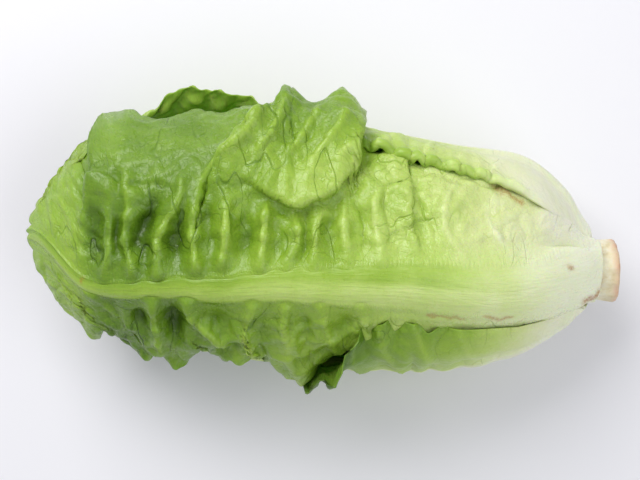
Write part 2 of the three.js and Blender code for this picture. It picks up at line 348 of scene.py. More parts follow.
def leaf_place(leaf, s, t):
    """Place of (s, t) on the head: x, angle, share, mm off the skin, and signed mm across from the rib."""
    length = leaf["foot"] - leaf["tip"]
    blunt = np.where(t < 0, leaf.get("blunt", 2.2), 2.2)
    x = leaf["foot"] - length * s + leaf["round"] * np.abs(t) ** blunt * smooth(s) * length * s
    notches = 1 - np.abs(np.sin(np.pi * (4.3 * t + 0.2 * np.sin(9 * t))))
    x = x + 1.9 * notches * smooth((s - 0.93) / 0.07)
    rib = along(leaf["rib_path"], s)
    if "margins" in leaf:
        (low, low_off), (high, high_off) = margin_angle(leaf, s, -1), margin_angle(leaf, s, 1)
        span = np.where(t < 0, rib - low, high - rib)
        off = np.where(t < 0, low_off, high_off) * np.abs(t) ** 4
    else:
        span = np.where(t < 0, along(leaf["span_low"], s), along(leaf["span_high"], s))
        off = np.zeros(np.shape(x))
        if leaf["shown"]:
            span, off = shown_margin(leaf, leaf["shown"], x, s, t, rib, span)
    share, reach = share_at(leaf, x, s, t)
    across = np.radians(t * span) * reach * share
    return x, rib + t * span, share, off, across


def on_head(x, angle, share, beyond):
    """Points of the head at x and an angle, a share of the way out to its skin and so many mm beyond."""
    centre_y, centre_z, wide, high = head_at(x)
    a = np.radians(angle)
    y = centre_y + (wide * share + beyond) * np.cos(a)
    z = centre_z + (high * share + beyond) * np.sin(a)
    return np.stack([x + 0 * y, y, z], axis=-1)


# ---------------------------------------------------------------- relief of the leaves

def rib_shape(leaf, s, across):
    """Height of the rib over the blade, and how much of a point belongs to the rib."""
    width = mix(leaf["rib_width"], leaf["rib_width"] * 0.13, s ** 0.8)
    height = leaf["rib"] * mix(1, 0.16, s ** 0.7)
    bell = np.exp(-np.abs(across / width) ** 3)
    return height * bell, smooth((bell - 0.25) / 0.5)


def general_relief(leaf, s, t, across):
    """Relief of an ordinary leaf: mm out of the sheet, vein mask, crinkle weight."""
    run = (leaf["foot"] - leaf["tip"]) * s
    seed = leaf["seed"]
    wobble = 4 * lumps(run, across, 26, seed)
    spacing = 15 - 1.2 * max(leaf["level"], 0)
    phase = (run - 0.42 * np.abs(across) + wobble) / spacing
    to_vein = np.abs(phase - np.round(phase)) * spacing
    out_from_rib = smooth((np.abs(across) - 4) / 14)
    up_leaf = smooth((s - 0.22) / 0.35)
    depth = 2.4 * out_from_rib * up_leaf
    pocket = -depth * (0.5 - 0.5 * np.cos(2 * np.pi * phase)) * (1 + 0.35 * lumps(run, across, 9, seed + 1))
    margin = np.abs(t) ** 5
    frill = np.sin(2 * np.pi * (run / 17 + 0.25 * lumps(run, across, 20, seed + 2) + 0.5 * np.sign(t)))
    frill = frill + 0.45 * np.sin(2 * np.pi * (run / 7.5 + lumps(run, across, 16, seed + 3)))
    sway = 0.3 * lumps(run, across, 18, seed + 4)
    tip = smooth((s - 0.9) / 0.1) * np.sin(2 * np.pi * (across / 19 + sway))
    frilled = FRILLS.get(leaf["name"], 1)
    rise = pocket + 2.2 * frilled * margin * up_leaf * frill + 1.8 * tip
    rise = rise + 1.1 * up_leaf * lumps(run, across, 34, seed + 5)
    vein = np.exp(-(to_vein / 1.1) ** 2) * out_from_rib * smooth((s - 0.1) / 0.3)
    return rise, vein, up_leaf * (0.35 + 0.65 * out_from_rib)


# Raised veins of the top leaf seen from above: height, width, and the points that each runs through.
TOP_VEINS = (
    (1.6, 2.2, ((-87.5, -16), (-85.4, 1), (-88.7, 13))),
    (2.8, 2.6, ((-77, -15), (-78.2, 1), (-79.9, 18), (-77, 30))),
    (3.8, 3.0, ((-66, -14), (-65.6, -3), (-60.5, 10), (-56.5, 20), (-57.5, 29))),
    (5.0, 3.4, ((-49.5, -11), (-51.6, 3), (-50, 16.7), (-44.5, 26),
                (-37, 35), (-26, 46), (-15, 63))),
    (3.4, 2.8, ((-39.8, -10), (-38.6, 5), (-36, 17))),
    (3.2, 2.8, ((-25.9, -10), (-25.9, 4), (-22.6, 14))),
    (1.9, 2.2, ((-15, -10), (-12, 1), (-14, 12))),
    (2.0, 2.4, ((-4.8, -10), (-3.2, 3), (-2.3, 14))),
    (1.4, 2.6, ((9, -10), (7, 3), (6, 13))),
    (1.5, 2.8, ((21.7, -11), (18.8, 1), (20.4, 12), (24, 22))),
    (1.2, 3.0, ((52, -8), (47, 4), (48, 16), (54, 24))),
    (1.0, 3.4, ((72, -6), (64, 4), (62, 14))),
    (1.6, 2.4, ((-96, -20), (-90, -26), (-83.7, -34))),
    (4.0, 3.2, ((-67.7, -25), (-69, -37), (-68, -50))),
    (3.4, 2.8, ((-55, -25), (-53.8, -33), (-44, -41), (-35, -48))),
    (2.8, 2.6, ((-31, -26), (-31.8, -39), (-26, -52))),
    (2.4, 2.6, ((-17, -26), (-18, -38), (-14, -52))),
    (1.8, 2.4, ((-1, -27), (2, -36), (5, -44))),
    (1.6, 2.4, ((14, -28), (17, -38))),
    (2.2, 2.6, ((-15, 50), (-17, 45), (-20, 40), (-29, 30))),
    (2.0, 2.4, ((-3, 46), (-6, 41), (-9, 36), (-18, 27))),
    (2.0, 2.4, ((7, 45), (5, 40), (1, 34), (-7, 24))),
    (1.8, 2.2, ((13, 44), (9, 33), (3, 24))),
    (2.0, 2.2, ((-26, 44), (-34, 34), (-42, 28))),
)

# Hollows between the veins of the top leaf: centre x and y, half length along X, half width, depth.
# A swelling has a depth below 0.
TOP_HOLLOWS = (
    (-92, 2, 4.5, 13, 4.5),
    (-82, 4, 3.6, 14, 4.5),
    (-71.5, 2, 4.6, 15, 6.2),
    (-57.5, -1, 5.5, 10, 5.6),
    (-45.5, 8, 4.4, 15, 6.5),
    (-32, 3, 5, 11, 4.5),
    (-20, 1, 4, 9, 3.6),
    (-8.5, 0, 3.4, 9, 3.6),
    (2.5, 1, 4, 10, 4.2),
    (14, 3, 5, 11, 3.6),
    (28, 4, 5, 12, 2.6),
    (41, 8, 6, 8, 1.6),
    (58, 9, 7, 8, 1.4),
    (-88, -28, 5, 5, 3.0),
    (-75, -33, 4, 6, 5.0),
    (-61, -34, 4.5, 8, 5.4),
    (-44, -33, 6, 6, 3.0),
    (-38.5, -45, 5, 3, 4.0),
    (-24.5, -40, 5, 10, 3.0),
    (-9, -38, 5, 10, 2.6),
    (7, -36, 5, 5, 2.6),
    (99, -3.5, 12, 2.6, 2.6),
    (93, 6, 12, 5, -1.8),
)

# Folded edges of the top leaf: the side to the left of each line stands over the other side.
# Height of the step, how far it laps over, how far back the raised part reaches, fades at its ends.
TOP_EDGES = (
    (6.0, 3.4, 26, (0.35, 0.02), ((-50, 20), (-40, 23), (-30, 21), (-19, 15.5), (-8.6, 12.5),
                                  (2, 17.5), (10.5, 26), (13, 39), (15, 52), (16, 66))),
    (2.2, 1.2, 9, (0.2, 0.0), ((37, -9), (34, 1), (33, 18), (33.6, 38))),
    (5.0, 2.0, 16, (0.02, 0.3), ((-93, 56), (-95, 37), (-93.5, 26), (-96, 14), (-100, 3))),
    (2.0, 1.5, 6, (0.3, 0.3), ((-80, 20), (-88, 23), (-98, 21))),
    (3.8, 1.2, 13, (0.1, 0.2), ((-12, 62), (-22, 49), (-33, 39), (-42, 28), (-48, 14),
                                (-50, 2), (-48, -10))),
)


def top_relief(leaf, s, t, x, y, across):
    """Relief of the top leaf: mm out of the sheet, mm sideways, vein mask, crinkle weight."""
    run = leaf["foot"] - x
    wx = x + 2.2 * lumps(x, y, 13, 31)
    wy = y + 2.2 * lumps(x, y, 13, 32)
    off_rib = smooth((np.abs(across) - mix(17, 2.5, s)) / 9)
    rise = np.zeros(np.shape(x))
    vein = np.zeros(np.shape(x))
    _, rib_mask = rib_shape(leaf, s, across)
    for height, width, points in TOP_VEINS:
        distance, share, _ = near_line(wx, wy, points)
        ends = smooth((share + 0.3) / 0.35) * smooth((1 - share) / 0.35)
        crest = np.exp(-np.abs(distance / (0.55 * width)) ** 1.5)
        base = np.exp(-(distance / (1.25 * width)) ** 2)
        rise += height * ends * (0.5 * crest + 0.45 * base) * (1 - rib_mask)
        vein = np.maximum(vein, ends * np.exp(-(distance / 1.0) ** 2))
    for cx, cy, long, wide, depth in TOP_HOLLOWS:
        inside = ((wx - cx) / long) ** 2 + ((wy - cy) / wide) ** 2
        rise -= depth * np.exp(-inside ** 1.3)
    push = np.zeros(np.shape(x) + (2,))
    for height, lap, back, fades, points in TOP_EDGES:
        distance, share, normal = near_line(x + 0.9 * lumps(x, y, 6, 41),
                                            y + 0.9 * lumps(x, y, 6, 42), points)
        ends = smooth(share / max(fades[0], 1e-3)) * smooth((1 - share) / max(fades[1], 1e-3))
        raised = smooth((distance + 0.4) / 1.6) * np.exp(-(np.maximum(distance, 0) / back) ** 2)
        rise += height * ends * raised
        lip = smooth((distance + 0.6) / 1.8) * np.exp(-(np.maximum(distance, 0) / 4.5) ** 2)
        push -= (lap * ends * lip)[..., None] * normal
        rise -= 1.6 * ends * np.exp(-((distance + 3) / 3) ** 2)
    fold = lumps(0.75 * x, 0.5 * y, 7, 55)
    blister = 1.3 * lumps(x, y, 8, 51) + 0.7 * lumps(x, y, 4.2, 52) - 1.5 * np.exp(-(fold / 0.14) ** 2)
    on_lobe = smooth((y - 24) / 10) * smooth((x + 24) / 10) * smooth((20 - x) / 10)
    far_side = 0.7 * smooth((y - 22) / 12)
    smooth_part = far_side * smooth((-22 - 0.4 * (y - 25) - x) / 12) * smooth((x + 104) / 8)
    calm = (1 - 0.15 * on_lobe) * (1 - smooth_part)
    blistered = along(((-125, 0.55), (-40, 0.55), (0, 0.85), (60, 0.7), (100, 0.15)), x)
    rise += calm * off_rib * blister * blistered
    waves = np.sin(2 * np.pi * (run / 21 + 0.3 * lumps(run, across, 22, 53)))
    rise += np.where(t > 0, 2.6, 1.2) * np.abs(t) ** 5 * smooth((run - 70) / 50) * waves
    knot = 2.6 * np.exp(-((x + 4) ** 2 + (y - 14) ** 2) / 14)
    rise += knot + 1.8 * np.exp(-((x - 6) ** 2 + (y - 21) ** 2) / 16)
    covered = np.where(t > 0, 1, 0) * smooth((np.abs(t) - 0.55) / 0.3) * smooth((x + 1) / 9)
    rise = rise * (1 - 0.85 * covered) - 1.2 * covered
    rise *= smooth(run / 26)
    crinkled = along(((-125, 0.55), (-60, 0.8), (20, 0.8), (70, 0.5), (105, 0.05)), x)
    return rise, push, vein * off_rib, (0.3 + 0.7 * calm) * off_rib * crinkled


def flap_lift(x, y):
    """The lobe that folds back over the far side of the top leaf stands out level, in mm of lift."""
    along_head = smooth((x + 52) / 26) * smooth((19 - x) / 9)
    return 13 * along_head * smooth((y - 24) / 34)


# ---------------------------------------------------------------- meshes

def grid_faces(rows, columns, start=0, flip=False):
    """Quads of a grid of points stored row by row."""
    i, j = np.meshgrid(np.arange(rows - 1), np.arange(columns - 1), indexing="ij")
    a = (start + i * columns + j).ravel()
    order = (a, a + 1, a + columns + 1, a + columns) if flip else (a, a + columns, a + columns + 1, a + 1)
    return np.stack(order, axis=1)


def grid_normals(points):
    """Unit normals of a grid of points, along the cross product of its two directions."""
    down = np.gradient(points, axis=0)
    across = np.gradient(points, axis=1)
    normal = np.cross(down, across)
    return normal / np.maximum(np.linalg.norm(normal, axis=-1, keepdims=True), 1e-9)


def shell_faces(rows, columns):
    """Quads of two matching grids of points, joined round their rims."""
    second = rows * columns
    faces = [grid_faces(rows, columns), grid_faces(rows, columns, second, flip=True)]
    i = np.arange(rows - 1) * columns
    last = i + columns - 1
    faces.append(np.stack((i, i + second, i + second + columns, i + columns), axis=1))
    faces.append(np.stack((last, last + columns, last + second + columns, last + second), axis=1))
    j = np.arange(columns - 1)
    end = j + (rows - 1) * columns
    faces.append(np.stack((j, j + 1, j + 1 + second, j + second), axis=1))
    faces.append(np.stack((end, end + second, end + 1 + second, end + 1), axis=1))
    return np.vstack(faces)


def mesh_from(name, points, faces, values=None):
    """A smooth mesh from points in mm, quads and named values for each point."""
    mesh = bpy.data.meshes.new(name)
    mesh.from_pydata((points.reshape(-1, 3) * MM).tolist(), [], [list(face) for face in faces])
    for key, value in (values or {}).items():
        vector = value.ndim == 2
        attribute = mesh.attributes.new(key, "FLOAT_VECTOR" if vector else "FLOAT", "POINT")
        attribute.data.foreach_set("vector" if vector else "value", value.astype(np.float32).ravel())
    mesh.shade_smooth()
    mesh.validate()
    return mesh


def add_piece(name, mesh, material, node):
    """An object for a finished mesh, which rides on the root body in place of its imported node."""
    piece = bpy.data.objects.new(name, mesh)
    bpy.context.scene.collection.objects.link(piece)
    mesh.materials.clear()
    mesh.materials.append(material)
    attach(piece, "root")
    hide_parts(node)
    return piece


# ---------------------------------------------------------------- geometry nodes

def join(tree, output, socket):
    tree.links.new(output, socket)


def math_node(tree, operation, a, b=None, c=None):
    """A Math node whose inputs are numbers or sockets. Returns its output."""
    node = tree.nodes.new("ShaderNodeMath")
    node.operation = operation
    for k, value in enumerate((a, b, c)):
        if value is None:
            continue
        if isinstance(value, (int, float)):
            node.inputs[k].default_value = value
        else:
            join(tree, value, node.inputs[k])
    return node.outputs[0]


def times(tree, a, b):
    return math_node(tree, "MULTIPLY", a, b)


def step_node(tree, value, low, high, to_low=0.0, to_high=1.0):
    """A smooth Map Range. Returns its output."""
    node = tree.nodes.new("ShaderNodeMapRange")
    node.interpolation_type = "SMOOTHSTEP"
    for key, number in (("From Min", low), ("From Max", high), ("To Min", to_low), ("To Max", to_high)):
        node.inputs[key].default_value = number
    join(tree, value, node.inputs["Value"])
    return node.outputs["Result"]


def named_value(tree, name, kind):
    node = tree.nodes.new("GeometryNodeInputNamedAttribute")
    node.data_type = kind
    node.inputs["Name"].default_value = name
    return node.outputs["Attribute"]


def crinkle_tree(material):
    """Sinks the cells between a leaf's small veins, along the sheet's normals."""
    tree = bpy.data.node_groups.new("Leaf crinkle", "GeometryNodeTree")
    tree.interface.new_socket("Geometry", in_out="INPUT", socket_type="NodeSocketGeometry")
    for label, value in (("Cells per metre", 100.0), ("Depth", 0.001)):
        socket = tree.interface.new_socket(label, in_out="INPUT", socket_type="NodeSocketFloat")
        socket.default_value = value
    tree.interface.new_socket("Geometry", in_out="OUTPUT", socket_type="NodeSocketGeometry")
    inputs = tree.nodes.new("NodeGroupInput")
    outputs = tree.nodes.new("NodeGroupOutput")
    place = named_value(tree, "leaf_place", "FLOAT_VECTOR")
    cells = tree.nodes.new("ShaderNodeTexVoronoi")
    cells.voronoi_dimensions = "2D"
    cells.feature = "DISTANCE_TO_EDGE"
    join(tree, place, cells.inputs["Vector"])
    join(tree, inputs.outputs["Cells per metre"], cells.inputs["Scale"])
    sunk = step_node(tree, cells.outputs["Distance"], 0.0, 0.32)
    weight = times(tree, sunk, named_value(tree, "crinkle", "FLOAT"))
    depth = times(tree, weight, times(tree, inputs.outputs["Depth"], -1.0))
    normal = tree.nodes.new("GeometryNodeInputNormal")
    offset = tree.nodes.new("ShaderNodeVectorMath")
    offset.operation = "SCALE"
    join(tree, normal.outputs["Normal"], offset.inputs[0])
    join(tree, depth, offset.inputs["Scale"])
    move = tree.nodes.new("GeometryNodeSetPosition")
    join(tree, inputs.outputs["Geometry"], move.inputs["Geometry"])
    join(tree, offset.outputs["Vector"], move.inputs["Offset"])
    realize = tree.nodes.new("GeometryNodeRealizeInstances")
    join(tree, move.outputs["Geometry"], realize.inputs["Geometry"])
    paint = tree.nodes.new("GeometryNodeSetMaterial")
    paint.inputs["Material"].default_value = material
    join(tree, realize.outputs["Geometry"], paint.inputs["Geometry"])
    join(tree, paint.outputs["Geometry"], outputs.inputs["Geometry"])
    return tree


def run_tree(mesh, tree, settings):
    """The mesh that a geometry node tree makes of another one, with the tree's inputs set by label."""
    holder = bpy.data.objects.new("holder", mesh)
    bpy.context.scene.collection.objects.link(holder)
    modifier = holder.modifiers.new("tree", "NODES")
    modifier.node_group = tree
    for item in tree.interface.items_tree:
        if item.item_type == "SOCKET" and item.in_out == "INPUT" and item.name in settings:
            modifier[item.identifier] = settings[item.name]
    bpy.context.view_layer.update()
    graph = bpy.context.evaluated_depsgraph_get()
    made = bpy.data.meshes.new_from_object(holder.evaluated_get(graph), depsgraph=graph)
    holder.modifiers.clear()
    bpy.data.objects.remove(holder)
    return made


def points_of(mesh):
    co = np.zeros(len(mesh.vertices) * 3, np.float32)
    mesh.vertices.foreach_get("co", co)
    return co.reshape(-1, 3).astype(float)


# ---------------------------------------------------------------- leaves

def both_sides(values):
    """Values of a sheet's points, once for each side of the shell made of it."""
    return np.concatenate([values.reshape(-1, *values.shape[2:])] * 2)


def leaf_mesh(leaf, rows, columns, tree, settings, tones):
    """The finished mesh of a leaf: its sheet, crinkled, with thickness, rib and its colour's values."""
    s = np.linspace(0, 1, rows)[:, None] + np.zeros((1, columns))
    t = np.linspace(-1, 1, columns)[None, :] + np.zeros((rows, 1))
    x, angle, share, off, across = leaf_place(leaf, s, t)
    flat = on_head(x, angle, share, off)
    push = np.zeros(np.shape(x) + (2,))
    if leaf["name"] == "top_leaf":
        rise, push, vein, crinkle = top_relief(leaf, s, t, x, flat[..., 1], across)
    else:
        rise, vein, crinkle = general_relief(leaf, s, t, across)
    middle = on_head(x, angle, share, off + rise)
    middle[..., :2] += push
    if leaf["name"] == "top_leaf":
        middle[..., 2] += flap_lift(x, flat[..., 1])
    run = leaf["foot"] - x
    place = np.stack([run * MM, across * MM, np.full(np.shape(x), leaf["seed"] * 0.37)], axis=-1)
    values = {"leaf_place": place.reshape(-1, 3), "crinkle": crinkle.ravel()}
    sheet = mesh_from(leaf["name"] + "_sheet", middle, grid_faces(rows, columns), values)
    made = run_tree(sheet, tree,
                    {"Cells per metre": settings.cells_per_metre, "Depth": settings.cell_depth})
    middle = points_of(made).reshape(rows, columns, 3) / MM
    rib, rib_mask = rib_shape(leaf, s, across)
    at_margin = np.maximum(smooth((np.abs(t) - 0.93) / 0.07), smooth((s - 0.97) / 0.03))
    thin_margin = 1 - 0.55 * at_margin
    blade = settings.blade_thickness / MM * thin_margin
    edge = leaf.get("shown")
    if edge:
        uneven = 1 + 0.5 * lumps(run, across, 4, leaf["seed"] + 12)
        rolled = edge["bead"] * uneven * smooth((run - 12) / 30)
        blade = blade + rolled * np.exp(-((0.965 - t * edge["side"]) / 0.045) ** 2) * smooth((x + 6) / 8)
    foot = np.sqrt(np.clip(1 - (1 - np.clip(run / 6, 0, 1)) ** 2, 0.02, 1))
    normal = grid_normals(middle)
    raised = (rib + 0.5 * vein) * foot
    outer = middle + normal * (blade + raised)[..., None]
    inner = middle.copy()
    outer[..., 2] = np.maximum(outer[..., 2], leaf["pressed"])
    inner[..., 2] = np.maximum(inner[..., 2], leaf["pressed"] + 0.5)
    points = np.concatenate([outer.reshape(-1, 3), inner.reshape(-1, 3)])
    tone = tones(leaf, s, t, x, flat[..., 1], rise, rib_mask)
    brown = brown_marks(leaf, x, flat[..., 1])
    kept = {"leaf_place": place, "green": tone, "rib": rib_mask,
            "vein": vein, "brown": brown, "crinkle": crinkle}
    values = {key: both_sides(value) for key, value in kept.items()}
    values["inside"] = np.repeat((0.0, 1.0), rows * columns)
    for old in (sheet, made):
        bpy.data.meshes.remove(old)
    return mesh_from(leaf["name"], points, shell_faces(rows, columns), values)


def stem_mesh():
    """The cut stem on the head's centre line: its side, its cut face and values for its colour."""
    low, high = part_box("stem")
    tip, cut = low.x / MM, high.x / MM
    side_rows, face_rings, around = STEM_GRID
    side = np.linspace(tip, cut, side_rows)
    inward = np.linspace(0.97, 0.03, face_rings)
    x = np.concatenate([side, cut - 0.5 * smooth((1 - inward) / 0.3)])
    radius = np.concatenate([stem_radius(side), stem_radius(cut) * inward])
    angle = np.linspace(0, 2 * np.pi, around, endpoint=False)[None, :]
    radial = np.concatenate([np.ones(side_rows), inward])[:, None] + 0 * angle
    x = x[:, None] + 0 * angle
    outward = radius[:, None] + 0 * angle
    on_side = (np.arange(side_rows + face_rings) < side_rows)[:, None]
    flutes = 0.35 * np.sin(5 * angle + 0.06 * x) + 0.25 * np.sin(13 * angle + 1.0)
    outward = outward + np.where(on_side, 1, radial) * flutes * smooth((x - 80) / 20)
    in_ring = np.exp(-((radial - 0.72) / 0.07) ** 2)
    bundles = in_ring * (0.5 + 0.5 * np.cos(18 * angle + 0.8 * np.sin(3 * angle)))
    x = x + np.where(on_side, 0, 0.3 * bundles - 0.35 * np.exp(-(radial / 0.35) ** 2))
    centre_y, centre_z, _, _ = head_at(x)
    y = centre_y + outward * np.cos(angle)
    z = centre_z + outward * np.sin(angle)
    points = np.stack([np.minimum(x, cut), y, z], axis=-1)
    rows, columns = x.shape
    i, j = np.meshgrid(np.arange(rows - 1), np.arange(columns), indexing="ij")
    a = (i * columns + j).ravel()
    b = (i * columns + (j + 1) % columns).ravel()
    faces = np.stack([a, b, b + columns, a + columns], axis=1).tolist()
    faces.append(list(range(columns))[::-1])
    faces.append(list(range((rows - 1) * columns, rows * columns)))
    values = {"radial": radial.ravel(), "bundle": np.where(on_side, 0, bundles).ravel(),
              "cut": (np.where(on_side, 0.0, 1.0) + 0 * radial).ravel(),
              "browned": (smooth((x - cut + 4.5) / 4.5) * smooth((radial - 0.8) / 0.15)).ravel()}
    return mesh_from("stem", points, np.array(faces, dtype=object), values)


def general_tones(leaf, s, t, x, y, rise, rib_mask):
    """How green each point of an ordinary leaf is: pale at the foot, the rib and towards the heart, with
    painted shade in its hollows.
    """
    most = 0.9 - 0.13 * max(leaf["level"], 0)
    blade = along(((0, 0.02), (0.12, 0.1), (0.35, 0.5), (0.65, 0.85), (1, 1)), s) * most
    # Painted shade: the green deepens where the blade sinks into a hollow.
    blade = blade + 0.1 * smooth(-rise / 4) * s
    if leaf["name"] == "outer_leaf_1":
        blade = blade + np.where(t < 0, 0.3, 0) * np.abs(t) * smooth((110 - x) / 60)
    if leaf["name"] == "outer_leaf_3":
        bead = 0.12 * smooth((t - 0.8) / 0.15) * smooth((95 - x) / 40)
        blade = blade * mix(0.62, 0.95, smooth((x + 20) / 40)) + bead
    stalk = along(((0, 0.0), (0.3, 0.12), (0.7, 0.45), (1, 0.6)), s) * most
    return np.clip(mix(blade, stalk, rib_mask), 0, 1)


def top_tones(leaf, s, t, x, y, rise, rib_mask):
    """How green each point of the top leaf is, with painted shade in its hollows and painted light on its
    raised parts.
    """
    blade = along(((-125, 0.6), (-104, 0.64), (-92, 0.84), (-60, 0.8), (-30, 0.71), (0, 0.62), (30, 0.47),
                   (55, 0.34), (80, 0.2), (95, 0.08), (117, 0.01)), x)
    far = smooth((y - 22) / 20)
    blade = blade + 0.17 * far * smooth((x + 50) / 40) * smooth((30 - x) / 20)
    # Painted shade deepens the green in the hollows, and painted light makes the raised parts paler.
    blade = blade + 0.13 * smooth(-(rise + 0.5) / 5) * smooth((60 - x) / 60) - 0.06 * smooth(rise / 4)
    stalk = along(((-125, 0.6), (-94, 0.6), (-50, 0.54), (0, 0.48), (32, 0.42), (66, 0.27), (86, 0.13),
                   (110, 0.02), (117, 0.0)), x)
    stalk = stalk + np.where(t < 0, 0.13, -0.03) * smooth(np.abs(t) / 0.04) * smooth((80 - x) / 40)
    return np.clip(mix(blade, stalk, rib_mask), 0, 1)


# Brown marks on the top leaf seen from above: strength, width, and the points that each runs through.
TOP_MARKS = (
    (0.75, 1.3, ((68, 21), (73, 18), (78, 14.5))),
    (0.9, 0.9, ((94.4, -10.6), (95.4, -11))),
    (0.6, 0.7, ((40, -30), (47, -30.5), (53.5, -31))),
    (0.7, 0.7, ((62, -30), (67, -30.5), (73, -30))),
    (1.0, 1.5, ((104, -22.5), (109, -20.5), (115, -16.5))),
    (0.8, 0.6, ((-97.6, -17), (-96.8, -15.4))),
)


def brown_marks(leaf, x, y):
    """Bruises and scars: 0 clean, 1 brown."""
    brown = np.zeros(np.shape(x))
    if leaf["name"] != "top_leaf":
        return brown
    for strength, width, points in TOP_MARKS:
        distance, _, _ = near_line(x + 0.8 * lumps(x, y, 2.2, 61),
                                   y + 0.8 * lumps(x, y, 2.2, 62), points)
        brown = np.maximum(brown, strength * np.exp(-(distance / width) ** 2))
    return brown


# ---------------------------------------------------------------- materials

def srgb(red, green, blue):
    """Linear colour from screen values of 0 to 255."""
    def linear(v):
        v = v / 255
        return v / 12.92 if v <= 0.04045 else ((v + 0.055) / 1.055) ** 2.4
    return (linear(red), linear(green), linear(blue), 1.0)


# Colour of leaf tissue from blanched, 0, to deepest green, 1.
GREENS = (
    (0.0, (240, 243, 216)),
    (0.14, (229, 237, 190)),
    (0.3, (208, 224, 146)),
    (0.45, (184, 210, 106)),
    (0.6, (151, 184, 63)),
    (0.74, (124, 160, 42)),
    (0.87, (97, 133, 27)),
    (1.0, (60, 90, 11)),
)


def shader_group(name, inputs, outputs):
    """An empty shader node group with float, vector or colour sockets, and its input and output nodes."""
    group = bpy.data.node_groups.new(name, "ShaderNodeTree")
    for label, kind in inputs:
        group.interface.new_socket(label, in_out="INPUT", socket_type="NodeSocket" + kind)
    for label, kind in outputs:
        group.interface.new_socket(label, in_out="OUTPUT", socket_type="NodeSocket" + kind)
    return group, group.nodes.new("NodeGroupInput"), group.nodes.new("NodeGroupOutput")


def stretched(tree, vector, scale):
    """A vector scaled by a Mapping node. Returns its output."""
    mapping = tree.nodes.new("ShaderNodeMapping")
    mapping.inputs["Scale"].default_value = scale
    join(tree, vector, mapping.inputs["Vector"])
    return mapping.outputs["Vector"]


def texture(tree, kind, vector, scale, **inputs):
    """A texture node read at a vector. Returns the node."""
    node = tree.nodes.new("ShaderNodeTex" + kind)
    join(tree, vector, node.inputs["Vector"])
    node.inputs["Scale"].default_value = scale
    for label, value in inputs.items():
        node.inputs[label.replace("_", " ").capitalize()].default_value = value
    return node


def vein_group():
    """Veins of a leaf as thin wandering lines that run out from its rib, with a finer net between them."""
    group, start, end = shader_group(
        "Leaf veins", (("Place", "Vector"),), (("Lines", "Float"), ("Height", "Float")))
    width = 0.013
    layers = []
    for stretch, scale, weight in (((1.0, 0.42, 1.0), 75.0, 1.0), ((1.0, 0.8, 1.0), 150.0, 0.5)):
        place = stretched(group, start.outputs["Place"], stretch)
        wander = texture(group, "Noise", place, scale, detail=1.5, roughness=0.5)
        away = math_node(group, "ABSOLUTE", math_node(group, "SUBTRACT", wander.outputs["Fac"], 0.5))
        layers.append(times(group, step_node(group, away, 0.0, width, 1.0, 0.0), weight))
    net = group.nodes.new("ShaderNodeTexVoronoi")
    net.feature = "DISTANCE_TO_EDGE"
    net.inputs["Scale"].default_value = 420.0
    join(group, start.outputs["Place"], net.inputs["Vector"])
    layers.append(step_node(group, net.outputs["Distance"], 0.0, 0.12, 0.16, 0.0))
    fading = texture(group, "Noise", start.outputs["Place"], 48.0, detail=1.0)
    shown = step_node(group, fading.outputs["Fac"], 0.4, 0.62, 0.15, 1.0)
    main = times(group, math_node(group, "MAXIMUM", layers[0], layers[1]), shown)
    lines = math_node(group, "MAXIMUM", main, layers[2])
    join(group, lines, end.inputs["Lines"])
    join(group, lines, end.inputs["Height"])
    return group


def mottle_group():
    """Uneven greening of a leaf in patches and in fine grain, from -1 to 1."""
    group, start, end = shader_group(
        "Leaf mottle", (("Place", "Vector"),), (("Patches", "Float"), ("Grain", "Float")))
    for label, scale, detail in (("Patches", 55.0, 3.0), ("Grain", 900.0, 2.0)):
        noise = texture(group, "Noise", start.outputs["Place"], scale, detail=detail, roughness=0.6)
        join(group, step_node(group, noise.outputs["Fac"], 0.3, 0.7, -1.0, 1.0), end.inputs[label])
    return group


def use_group(tree, group, **inputs):
    """Places a node group in a tree with sockets or numbers on its inputs. Returns the node."""
    node = tree.nodes.new("ShaderNodeGroup")
    node.node_tree = group
    for label, value in inputs.items():
        socket = node.inputs[label.replace("_", " ").capitalize()]
        if isinstance(value, (int, float)):
            socket.default_value = value
        else:
            join(tree, value, socket)
    return node


def attribute(tree, name, output="Fac"):
    node = tree.nodes.new("ShaderNodeAttribute")
    node.attribute_name = name
    return node.outputs[output]


def blend_node(tree, share, a, b):
    """Mixes two colours, each a socket or a tuple. Returns the colour."""
    node = tree.nodes.new("ShaderNodeMix")
    node.data_type = "RGBA"
    for socket, value in ((node.inputs[0], share), (node.inputs[6], a), (node.inputs[7], b)):
        if isinstance(value, (int, float, tuple)):
            socket.default_value = value
        else:
            join(tree, value, socket)
    return node.outputs[2]


def ramp_node(tree, value, stops):
    node = tree.nodes.new("ShaderNodeValToRGB")
    ramp = node.color_ramp
    while len(ramp.elements) < len(stops):
        ramp.elements.new(0.5)
    for element, (place, colour) in zip(ramp.elements, stops):
        element.position = place
        element.color = srgb(*colour)
    join(tree, value, node.inputs["Fac"])
    return node.outputs["Color"]


def bump_node(tree, height, strength, distance, normal=None):
    node = tree.nodes.new("ShaderNodeBump")
    node.inputs["Strength"].default_value = strength
    node.inputs["Distance"].default_value = distance
    join(tree, height, node.inputs["Height"])
    if normal is not None:
        join(tree, normal, node.inputs["Normal"])
    return node.outputs["Normal"]


def new_material(name):
    """A material with an empty tree, its Principled BSDF and its tree."""
    material = bpy.data.materials.new(name)
    material.use_nodes = True
    tree = material.node_tree
    return material, tree, tree.nodes["Principled BSDF"]


